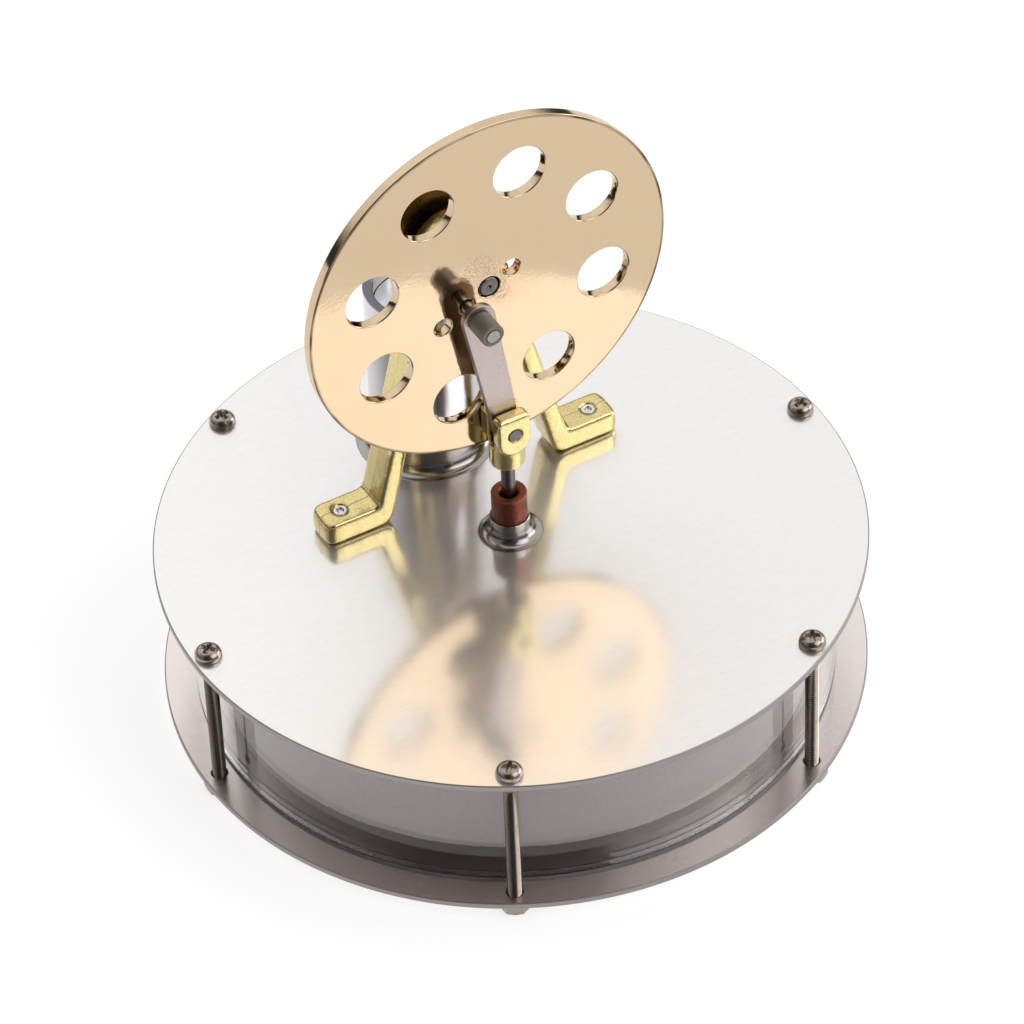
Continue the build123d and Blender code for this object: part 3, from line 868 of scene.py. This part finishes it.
class ENGINE_OT_gland(bpy.types.Operator):
    """The bronze gland bush with its chamfered mouth"""

    bl_idname = "engine.gland"
    bl_label = "Gland bush"

    def execute(self, context):
        outer = width("rod_bush", 0) / 2
        bore = ROD_RADIUS + 0.04 * MM
        start, end = low("rod_bush").z, high("rod_bush").z
        chamfer = 0.5 * MM
        profile = [(outer, start), (outer, end), (bore + chamfer, end), (bore, end - chamfer)]
        bush = turned("gland_bush", [*profile, (bore, start)], 96, bored=True)
        soften(bush, 0.18 * MM, 3)
        hand_over(bush, "bronze", "chassis", "sintered_bronze", "rod_bush")
        return {"FINISHED"}


# ---------------------------------------------------------------- crank gear


def cross_pin(name, node, radius, edge_round):
    """A turned pin along Y over a CAD node's length."""
    centre, start, end = middle(node), low(node).y, high(node).y
    pin = round_bar(name, radius, -end, -start, 64, edge_round)
    return set_down(pin, (centre.x, 0.0, centre.z), FRONTWARDS)


def cross_tube(name, node, outer, inner, edge_round):
    """A turned tube along Y over a CAD node's length."""
    centre, start, end = middle(node), low(node).y, high(node).y
    profile = [(outer, -end), (outer, -start), (inner, -start), (inner, -end)]
    piece = turned(name, profile, 80, bored=True)
    soften(piece, edge_round, 3)
    return set_down(piece, (centre.x, 0.0, centre.z), FRONTWARDS)


class ENGINE_OT_clevis(bpy.types.Operator):
    """The gold clevis on the rod and its pin"""

    bl_idname = "engine.clevis"
    bl_label = "Clevis"

    def execute(self, context):
        clevis = cleaned_copy("rod_clevis", "gold_clevis")
        cast(clevis, 0.1 * MM, 30, 0.05 * MM)
        hand_over(clevis, "gold_casting", "displacer_unit", "gold_casting", "rod_clevis")
        pin = cross_pin("clevis_cross_pin", "clevis_pin", PIN_RADIUS, 0.18 * MM)
        hand_over(pin, "dark_steel", "displacer_unit", "dark_steel", "clevis_pin")
        return {"FINISHED"}


def tapered_link(name, node, head_radius, foot_radius, sizes):
    """A blanked strip with round ends: a disc whose lower half is drawn down to the foot."""
    lowest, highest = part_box(node)
    foot = Vector((0.0, lowest.z + foot_radius))
    pin_x = lowest.x + head_radius
    head = Vector((pin_x, highest.z - head_radius))
    length = (head - foot).length
    lean = math.atan2(head.x - foot.x, head.y - foot.y)
    thickness = highest.y - lowest.y
    deselect_all()
    bpy.ops.mesh.primitive_circle_add(vertices=96, radius=head_radius, fill_type="NGON")
    link = name_piece(name)
    bpy.ops.object.mode_set(mode="EDIT")
    shape = bmesh.from_edit_mesh(link.data)
    for vertex in shape.verts:
        vertex.select_set(vertex.co.y < -0.001 * MM)
    shape.select_flush(False)
    bmesh.update_edit_mesh(link.data)
    narrow = foot_radius / head_radius
    bpy.ops.transform.resize(value=(narrow, narrow, 1.0), center_override=(0.0, 0.0, 0.0))
    bpy.ops.transform.translate(value=(0.0, -length, 0.0))
    bpy.ops.mesh.select_all(action="SELECT")
    bpy.ops.mesh.extrude_region_move(TRANSFORM_OT_translate={"value": (0.0, 0.0, thickness)})
    bpy.ops.mesh.select_all(action="SELECT")
    bpy.ops.mesh.normals_make_consistent(inside=False)
    bpy.ops.object.mode_set(mode="OBJECT")
    eye = PIN_RADIUS + 0.05 * MM
    tools = [
        round_bar("eye_head", eye, -MM, 2 * MM, 64),
        set_down(round_bar("eye_foot", eye, -MM, 2 * MM, 64), (0.0, -length, 0.0)),
    ]
    cut_away(link, join_pieces("eyes", tools))
    soften(link, sizes.link_edge_round, 3)
    set_down(link, (0.0, 0.0, -thickness / 2))
    set_down(link, (0.0, 0.0, 0.0), FRONTWARDS)
    set_down(link, (head.x, middle(node).y, head.y), (0.0, lean, 0.0))
    return link


class ENGINE_OT_links(bpy.types.Operator):
    """The two flat steel links"""

    bl_idname = "engine.links"
    bl_label = "Links"

    def execute(self, context):
        sizes = context.scene.engine_sizes
        head, foot = 2.45 * MM, 2.0 * MM
        front = tapered_link("front_link", "displacer_link", head, foot, sizes)
        hand_over(front, "link_steel", "displacer_link_arm", "link_steel", "displacer_link")
        rear = tapered_link("rear_link", "power_link", head, foot, sizes)
        hand_over(rear, "link_steel", "power_link_arm", "link_steel", "power_link")
        return {"FINISHED"}


class ENGINE_OT_crank_pins(bpy.types.Operator):
    """The front and rear crank pins with their clear retaining sleeves"""

    bl_idname = "engine.crank_pins"
    bl_label = "Crank pins"

    def execute(self, context):
        pins = [
            ("front_pin_root", "crank_pin_root", "wheel"),
            ("front_pin_end", "crank_pin_end", "displacer_link_arm"),
            ("rear_pin_root", "power_pin_root", "wheel"),
            ("rear_pin_end", "power_pin_end", "power_link_arm"),
        ]
        for name, node, body in pins:
            pin = cross_pin(name, node, PIN_RADIUS, 0.1 * MM)
            hand_over(pin, "pin_steel", body, "pin_steel", node)
        sleeves = [
            ("front_sleeve", "crank_pin_sleeve", "displacer_link_arm"),
            ("rear_sleeve", "power_pin_sleeve", "power_link_arm"),
        ]
        for name, node, body in sleeves:
            outer = width(node, 0) / 2
            sleeve = cross_tube(name, node, outer, PIN_RADIUS + 0.01 * MM, 0.18 * MM)
            hand_over(sleeve, "sleeve", body, "clear_sleeve", node)
        return {"FINISHED"}


class ENGINE_OT_flywheel(bpy.types.Operator):
    """The gold flywheel with its ring of holes, and the crankshaft"""

    bl_idname = "engine.flywheel"
    bl_label = "Flywheel"

    def execute(self, context):
        sizes = context.scene.engine_sizes
        lowest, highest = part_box("flywheel")
        radius = (highest.x - lowest.x) / 2
        face, hub_end = lowest.y, highest.y
        thickness = 1.6 * MM
        hole_ring, hole_count, hole_size = 18.5 * MM, 8, 4.0 * MM
        spare_hole, far_hole_reach = 1.35 * MM, 8.3 * MM
        press_gap = 0.18 * MM
        back = face + thickness
        wheel = turned("gold_wheel", [(radius, -back), (radius, -face)], 288)
        pin = middle("crank_pin_root")
        crank = math.atan2(pin.z - SHAFT_Z, pin.x)
        throw = math.hypot(pin.x, pin.z - SHAFT_Z)
        step = math.tau / hole_count
        holes = [(hole_ring, crank + step * n, hole_size, 96) for n in range(hole_count)]
        holes.append((-throw, crank, spare_hole, 48))
        holes.append((far_hole_reach, crank, spare_hole, 48))
        holes.append((throw, crank, PIN_RADIUS + press_gap, 48))
        holes.append((0.0, 0.0, SHAFT_RADIUS + press_gap, 64))
        tools = []
        for number, (reach, turn, hole_radius, segments) in enumerate(holes):
            tool = round_bar(f"wheel_hole_{number}", hole_radius, -10 * MM, MM, segments)
            place = (reach * math.cos(turn), reach * math.sin(turn), 0.0)
            tools.append(set_down(tool, place))
        cut_away(wheel, join_pieces("wheel_holes", tools))
        soften(wheel, sizes.wheel_edge_round, 4)
        hub_radius = 4.0 * MM
        hub_profile = [(hub_radius, -hub_end), (hub_radius, -back + 0.1 * MM)]
        hub_profile += [(SHAFT_RADIUS, -back + 0.1 * MM), (SHAFT_RADIUS, -hub_end)]
        hub = turned("wheel_hub", hub_profile, 64, bored=True)
        soften(hub, 0.15 * MM, 2)
        wheel = join_pieces("gold_wheel", [wheel, hub])
        set_down(wheel, (0.0, 0.0, SHAFT_Z), FRONTWARDS)
        hand_over(wheel, "gold_plate", "wheel", "gold_plate", "flywheel")

        start, end = low("crankshaft").y, high("crankshaft").y
        chamfer, dimple = 0.2 * MM, 0.35 * MM
        profile = [
            (SHAFT_RADIUS, -end),
            (SHAFT_RADIUS, -start - chamfer),
            (SHAFT_RADIUS - chamfer, -start),
            (dimple, -start),
            (0.05 * MM, -start - dimple),
        ]
        shaft = turned("shaft", profile, 64)
        soften(shaft, 0.05 * MM, 2)
        set_down(shaft, (0.0, 0.0, SHAFT_Z), FRONTWARDS)
        hand_over(shaft, "dark_steel", "wheel", "dark_steel", "crankshaft")
        return {"FINISHED"}


# ---------------------------------------------------------------- bracket and power side


class ENGINE_OT_bracket(bpy.types.Operator):
    """The die-cast bracket, its shaft bushes and the screws in its feet"""

    bl_idname = "engine.bracket"
    bl_label = "Bracket"

    def execute(self, context):
        sizes = context.scene.engine_sizes
        bracket = cleaned_copy("bracket", "gold_bracket")
        lowest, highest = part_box("bracket")
        beyond = Vector((0.0, 0.0, MM))
        block = rounded_block(
            "feet_outline", lowest - beyond, highest + beyond, sizes.casting_edge_round
        )
        finish_modifier(bracket, "BOOLEAN", operation="INTERSECT", solver="EXACT", object=block)
        bpy.data.objects.remove(block)
        cast(bracket, 0.2 * MM, 36, 0.08 * MM)
        hand_over(bracket, "bracket_casting", "chassis", "gold_casting", "bracket")
        for end in ("front", "rear"):
            node = f"shaft_bush_{end}"
            outer = width(node, 0) / 2
            bush = cross_tube(f"{end}_bush", node, outer, SHAFT_RADIUS + 0.04 * MM, 0.12 * MM)
            # These bushes sit above the gland bush's top, so the bronze's painted highlight covers them
            # whole.
            hand_over(bush, "bronze", "chassis", "sintered_bronze", node)
        for side in ("left", "right"):
            node = f"bracket_screw_{side}"
            centre, start, end = middle(node), low(node).z, high(node).z
            head_radius = width(node, 0) / 2
            radius, hollow, depth = 1.0 * MM, 0.55 * MM, 0.45 * MM
            profile = [(head_radius, start), (head_radius, CEILING_Z), (radius, CEILING_Z)]
            profile += [(radius, end - 0.1 * MM), (radius - 0.12 * MM, end)]
            profile += [(hollow, end), (hollow * 0.7, end - depth)]
            screw = turned(f"foot_screw_{side}", profile, 48)
            soften(screw, 0.08 * MM, 2)
            set_down(screw, (centre.x, centre.y, 0.0))
            hand_over(screw, "zinc_screw", "chassis", "zinc_screw", node)
        return {"FINISHED"}


class ENGINE_OT_power_side(bpy.types.Operator):
    """The power cylinder, its piston and pin, and the rear crank disc"""

    bl_idname = "engine.power_side"
    bl_label = "Power side"

    def execute(self, context):
        sizes = context.scene.engine_sizes
        centre_y = middle("power_cylinder").y
        outer = width("power_cylinder", 0) / 2
        barrel = tube("power_barrel", "power_cylinder", outer, outer - 1.4 * MM, 160, 0.2 * MM)
        # The flat ends take the darker colour: painted shade.
        edge_material(
            barrel, "cylinder_steel", "tube_end_painted_shade", lambda face: abs(face.normal.z) > 0.9
        )
        set_down(barrel, (0.0, centre_y, 0.0))
        hand_over(barrel, "cylinder_steel", "chassis", "cylinder_steel", "power_cylinder")
        piston = cleaned_copy("power_piston", "slotted_piston")
        soften(piston, 0.15 * MM, 2)
        hand_over(piston, "hub_aluminium", "piston_unit", "piston_aluminium", "power_piston")
        pin = cross_pin("piston_pin", "wrist_pin", PIN_RADIUS, 0.15 * MM)
        hand_over(pin, "dark_steel", "piston_unit", "dark_steel", "wrist_pin")

        lowest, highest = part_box("crank_disc")
        radius = (highest.x - lowest.x) / 2
        back, front = highest.y, highest.y - 2.0 * MM
        hub_radius = 3.0 * MM
        profile = [(radius, -back), (radius, -front), (hub_radius, -front)]
        profile += [(hub_radius, -lowest.y), (SHAFT_RADIUS, -lowest.y), (SHAFT_RADIUS, -back)]
        disc = turned("rear_disc", profile, 128, bored=True)
        soften(disc, sizes.wheel_edge_round, 3)
        set_down(disc, (0.0, 0.0, SHAFT_Z), FRONTWARDS)
        # The rear disc takes the gold painted dark: painted shade.
        hand_over(disc, "gold_painted_shade", "wheel", "gold_plate", "crank_disc")
        return {"FINISHED"}


# ---------------------------------------------------------------- clamping screws and nuts


def cut_thread(name, radius, start, end, pitch, depth):
    """A thread: one V between two roots, swept up its helix."""
    deselect_all()
    bpy.ops.mesh.primitive_plane_add(size=pitch)
    thread = name_piece(name)
    bpy.ops.object.mode_set(mode="EDIT")
    shape = bmesh.from_edit_mesh(thread.data)
    for vertex in shape.verts:
        vertex.select_set(vertex.co.x > 0)
    shape.select_flush(True)
    bmesh.update_edit_mesh(thread.data)
    bpy.ops.mesh.delete(type="VERT")
    bpy.ops.mesh.select_all(action="SELECT")
    bpy.ops.mesh.subdivide(number_cuts=3)
    shape = bmesh.from_edit_mesh(thread.data)
    for vertex in shape.verts:
        along = vertex.co.y
        crest = abs(along) < pitch * 0.3
        vertex.co = (radius - (0.0 if crest else depth), 0.0, start + along + pitch / 2)
        if abs(along) < pitch * 0.1:
            vertex.co.x = radius
        elif crest:
            vertex.co.x = radius - depth * 0.5
    bmesh.update_edit_mesh(thread.data)
    bpy.ops.object.mode_set(mode="OBJECT")
    turns = int((end - start) / pitch)
    finish_modifier(
        thread,
        "SCREW",
        axis="Z",
        steps=24,
        render_steps=24,
        screw_offset=pitch,
        iterations=turns,
        use_merge_vertices=True,
        merge_threshold=MERGE_WITHIN,
        use_normal_calculate=True,
    )
    take(thread)
    bpy.ops.object.shade_smooth_by_angle(angle=math.radians(25.0))
    return thread


def cross_recess(top, sizes):
    """The tool that sinks a cross recess: two tapered blades."""
    blades = []
    span, slot, depth = sizes.recess_span, 0.75 * MM, 0.95 * MM
    for number, (x, y) in enumerate(((span, slot), (slot, span))):
        deselect_all()
        bpy.ops.mesh.primitive_cube_add(size=1.0)
        blade = name_piece(f"blade_{number}")
        bpy.ops.object.mode_set(mode="EDIT")
        shape = bmesh.from_edit_mesh(blade.data)
        for vertex in shape.verts:
            tip = vertex.co.z < 0
            reach = 0.55 if tip else 1.0
            vertex.co = (
                vertex.co.x * x * reach,
                vertex.co.y * y * reach,
                top - depth if tip else top + 0.3 * MM,
            )
        bmesh.update_edit_mesh(blade.data)
        bpy.ops.object.mode_set(mode="OBJECT")
        blades.append(blade)
    finish_modifier(blades[0], "BOOLEAN", operation="UNION", solver="EXACT", object=blades[1])
    bpy.data.objects.remove(blades[1])
    return blades[0]


def pan_head(top, sizes):
    """A pan head: a short wall, a rounded crown and the cross recess."""
    radius = width("plate_screw_1", 0) / 2
    rise = top - DECK_Z
    edge = 0.35 * MM
    crown = rise - edge
    profile = [(radius - 0.08 * MM, DECK_Z), (radius, DECK_Z + 0.08 * MM)]
    steps = 10
    for n in range(steps + 1):
        turn = math.radians(90.0 * n / steps)
        reach = radius - crown * (1.0 - math.cos(turn)) * 1.1
        profile.append((reach, DECK_Z + edge + crown * math.sin(turn)))
    profile.append((0.25 * MM, top))
    head = turned("pan_head", profile, 64)
    cut_away(head, cross_recess(top, sizes))
    soften(head, 0.07 * MM, 2, 42.0)
    return head


def hexagon_nut():
    """A hexagon nut with turned corners and a countersunk bore."""
    lowest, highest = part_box("plate_nut_1")
    rise = highest.z - lowest.z
    flat = 2.0 * MM
    corner = flat / math.cos(math.radians(30.0))
    blank = turned("nut", [(corner, 0.0), (corner, rise)], 6)
    chamfer = (corner - flat) * 0.62
    beyond, face, hair = corner + 0.05 * MM, flat * 0.97, 0.01 * MM
    cone = [(face, -hair), (beyond, chamfer), (beyond, rise - chamfer), (face, rise + hair)]
    barrel = turned("barrel", cone, 96)
    finish_modifier(blank, "BOOLEAN", operation="INTERSECT", solver="EXACT", object=barrel)
    bpy.data.objects.remove(barrel)
    minor, mouth, outside, sink, over = 0.95 * MM, 1.2 * MM, 1.3 * MM, 0.25 * MM, 0.1 * MM
    hollow = [(outside, -over), (mouth, 0.0), (minor, sink)]
    hollow += [(minor, rise - sink), (mouth, rise), (outside, rise + over)]
    bore = turned("bore", hollow, 48)
    cut_away(blank, bore)
    soften(blank, 0.06 * MM, 2, 25.0)
    return blank


class ENGINE_OT_fasteners(bpy.types.Operator):
    """The six clamping screws and their nuts, each modelled once and copied"""

    bl_idname = "engine.fasteners"
    bl_label = "Clamping screws and nuts"

    def execute(self, context):
        sizes = context.scene.engine_sizes
        lowest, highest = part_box("plate_screw_1")
        radius = 1.0 * MM
        pitch, depth = sizes.thread_pitch, sizes.thread_depth
        thread = cut_thread("thread", radius, lowest.z, DECK_Z - pitch, pitch, depth)
        # The faces deep in the thread take the painted shade.
        edge_material(
            thread,
            "nickel_screw",
            "thread_root_painted_shade",
            lambda face: math.hypot(face.center.x, face.center.y) < radius - depth * 0.55,
        )
        core = round_bar("core", radius - depth * 0.9, lowest.z, DECK_Z + 0.1 * MM, 24)
        screw = join_pieces("screw_pattern", [pan_head(highest.z, sizes), thread, core])
        nut = hexagon_nut()
        turns = (22.0, 71.0, 8.0, 40.0, 55.0, 63.0)
        for (number, x, y), degrees in zip(screw_places(), turns):
            turn = (0.0, 0.0, math.radians(degrees))
            each = copy_piece(screw, f"clamping_screw_{number}")
            set_down(each, (x, y, 0.0), turn)
            hand_over(each, "nickel_screw", "chassis", "nickel_screw", f"plate_screw_{number}")
            each = copy_piece(nut, f"clamping_nut_{number}")
            set_down(each, (x, y, 0.0))
            hand_over(each, "nickel_screw", "chassis", "nickel_screw", f"plate_nut_{number}")
        bpy.data.objects.remove(screw)
        bpy.data.objects.remove(nut)
        return {"FINISHED"}


# ---------------------------------------------------------------- stage


def way_to(turn, rise):
    """The direction from the engine to a place at these angles."""
    return Vector(
        (math.sin(turn) * math.cos(rise), -math.cos(turn) * math.cos(rise), math.sin(rise))
    )


def camera_axes(stage):
    """Right, up and back of the camera."""
    turn, rise, roll = stage.azimuth, stage.elevation, stage.roll
    back = way_to(turn, rise)
    level = Vector((math.cos(turn), math.sin(turn), 0.0))
    upright = back.cross(level)
    right = math.cos(roll) * level + math.sin(roll) * upright
    up = -math.sin(roll) * level + math.cos(roll) * upright
    return right, up, back


def soft_box(name, azimuth, elevation, distance, size, power):
    """A rectangular studio light that faces the engine, in degrees, metres and watts."""
    light = bpy.data.lights.new(name, "AREA")
    light.shape = "RECTANGLE"
    light.size, light.size_y = size
    light.energy = power
    box = bpy.data.objects.new(name, light)
    away = way_to(math.radians(azimuth), math.radians(elevation))
    aim = Vector((0.0, 0.0, 0.04))
    box.location = aim + away * distance
    box.rotation_euler = away.to_track_quat("Z", "Y").to_euler()
    bpy.context.scene.collection.objects.link(box)


def studio_room(scene, camera_way):
    """A bright tent overhead, a dark room round the table and a dark opening for the camera."""
    opening_outer, opening_inner = (math.cos(math.radians(angle)) for angle in (46.0, 24.0))
    world = bpy.data.worlds.new("studio_room")
    scene.world = world
    world.use_nodes = True
    tree = world.node_tree
    tree.nodes.clear()
    way = add_node(tree, "ShaderNodeTexCoord", {}, {}).outputs["Generated"]
    tent = ramp(tree, coordinate(tree, way, 2), 0.12, 0.38, 0.05, 1.0, smooth=True)
    facing = vector_maths(tree, "DOT_PRODUCT", way, camera_way)["Value"]
    opening = ramp(tree, facing, opening_outer, opening_inner, 1.0, 0.08, smooth=True)
    leftwards = vector_maths(tree, "DOT_PRODUCT", way, (-0.97, -0.2, 0.15))["Value"]
    left_wall = ramp(tree, leftwards, 0.4, 0.85, 1.0, 0.35, smooth=True)
    light = maths(tree, "MULTIPLY", tent, maths(tree, "MULTIPLY", opening, left_wall))
    inputs = {"Color": light, "Strength": 1.05}
    sky = add_node(tree, "ShaderNodeBackground", {}, inputs).outputs[0]
    add_node(tree, "ShaderNodeOutputWorld", {}, {"Surface": sky})


class ENGINE_OT_stage(bpy.types.Operator):
    """The pale floor, the studio light and the camera"""

    bl_idname = "engine.stage"
    bl_label = "Stage"

    def execute(self, context):
        scene = context.scene
        stage = scene.engine_stage
        right, up, back = camera_axes(stage)
        aim_height, aim_right, aim_up = 21.6 * MM, 0.085, 5.294
        focal_share = 5648.49 / 1024.0  # focal length as a share of the frame's width
        target = Vector((0.0, 0.0, aim_height)) + right * aim_right * MM + up * aim_up * MM
        camera = bpy.data.cameras.new("camera")
        camera.sensor_width = 36.0
        camera.lens = camera.sensor_width * focal_share
        camera.clip_start = 0.01
        camera.clip_end = 20.0
        holder = bpy.data.objects.new("camera", camera)
        axes = Matrix((right, up, back)).transposed().to_4x4()
        holder.matrix_world = Matrix.Translation(target + back * stage.distance) @ axes
        scene.collection.objects.link(holder)
        scene.camera = holder

        deselect_all()
        bpy.ops.mesh.primitive_grid_add(x_subdivisions=8, y_subdivisions=8, size=8.0)
        floor = name_piece("floor")
        material, tree, _ = blank_material("matt_white_sweep")
        inputs = {
            "Base Color": stage.floor_colour,
            "Roughness": 0.9,
            "Specular IOR Level": 0.0,
            "Emission Color": (1.0, 1.0, 1.0, 1.0),
            "Emission Strength": 0.74,
        }
        shader = add_node(tree, "ShaderNodeBsdfPrincipled", {}, inputs)
        close_material(tree, shader.outputs["BSDF"])
        floor.data.materials.append(material)
        studio_room(scene, back)
        soft_box("back_box", 184.0, 43.0, 1.6, (1.2, 1.0), 0.45)
        soft_box("key_box", 32.0, 44.0, 1.5, (1.1, 0.9), 4.9)
        soft_box("right_box", 78.0, 14.0, 1.5, (1.0, 0.6), 6.0)
        scene.view_settings.view_transform = "Standard"
        return {"FINISHED"}


# ---------------------------------------------------------------- panel and registration

BUILD_ORDER = (
    ENGINE_OT_plates,
    ENGINE_OT_chamber,
    ENGINE_OT_displacer,
    ENGINE_OT_gland,
    ENGINE_OT_clevis,
    ENGINE_OT_links,
    ENGINE_OT_crank_pins,
    ENGINE_OT_flywheel,
    ENGINE_OT_bracket,
    ENGINE_OT_power_side,
    ENGINE_OT_fasteners,
    ENGINE_OT_stage,
)


class ENGINE_PT_pieces(bpy.types.Panel):
    """The engine's pieces, sizes and colours"""

    bl_idname = "ENGINE_PT_pieces"
    bl_label = "Stirling Engine"
    bl_space_type = "VIEW_3D"
    bl_region_type = "UI"
    bl_category = "Engine"

    def draw(self, context):
        layout = self.layout
        for operator in BUILD_ORDER:
            layout.operator(operator.bl_idname)
        for settings in ("engine_sizes", "engine_colours", "engine_stage"):
            group = getattr(context.scene, settings)
            column = layout.column()
            for name in group.bl_rna.properties.keys():
                if name not in ("rna_type", "name"):
                    column.prop(group, name)


CLASSES = (EngineSizes, EngineColours, EngineStage, *BUILD_ORDER, ENGINE_PT_pieces)


def register():
    for each in CLASSES:
        bpy.utils.register_class(each)
    bpy.types.Scene.engine_sizes = bpy.props.PointerProperty(type=EngineSizes)
    bpy.types.Scene.engine_colours = bpy.props.PointerProperty(type=EngineColours)
    bpy.types.Scene.engine_stage = bpy.props.PointerProperty(type=EngineStage)


def unregister():
    del bpy.types.Scene.engine_stage
    del bpy.types.Scene.engine_colours
    del bpy.types.Scene.engine_sizes
    for each in reversed(CLASSES):
        bpy.utils.unregister_class(each)


def main():
    """Registers the add-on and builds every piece."""
    register()
    MATERIALS.update(make_materials(bpy.context.scene.engine_colours))
    for operator in BUILD_ORDER:
        group, verb = operator.bl_idname.split(".")
        getattr(getattr(bpy.ops, group), verb)()


if __name__ == "__main__":
    main()
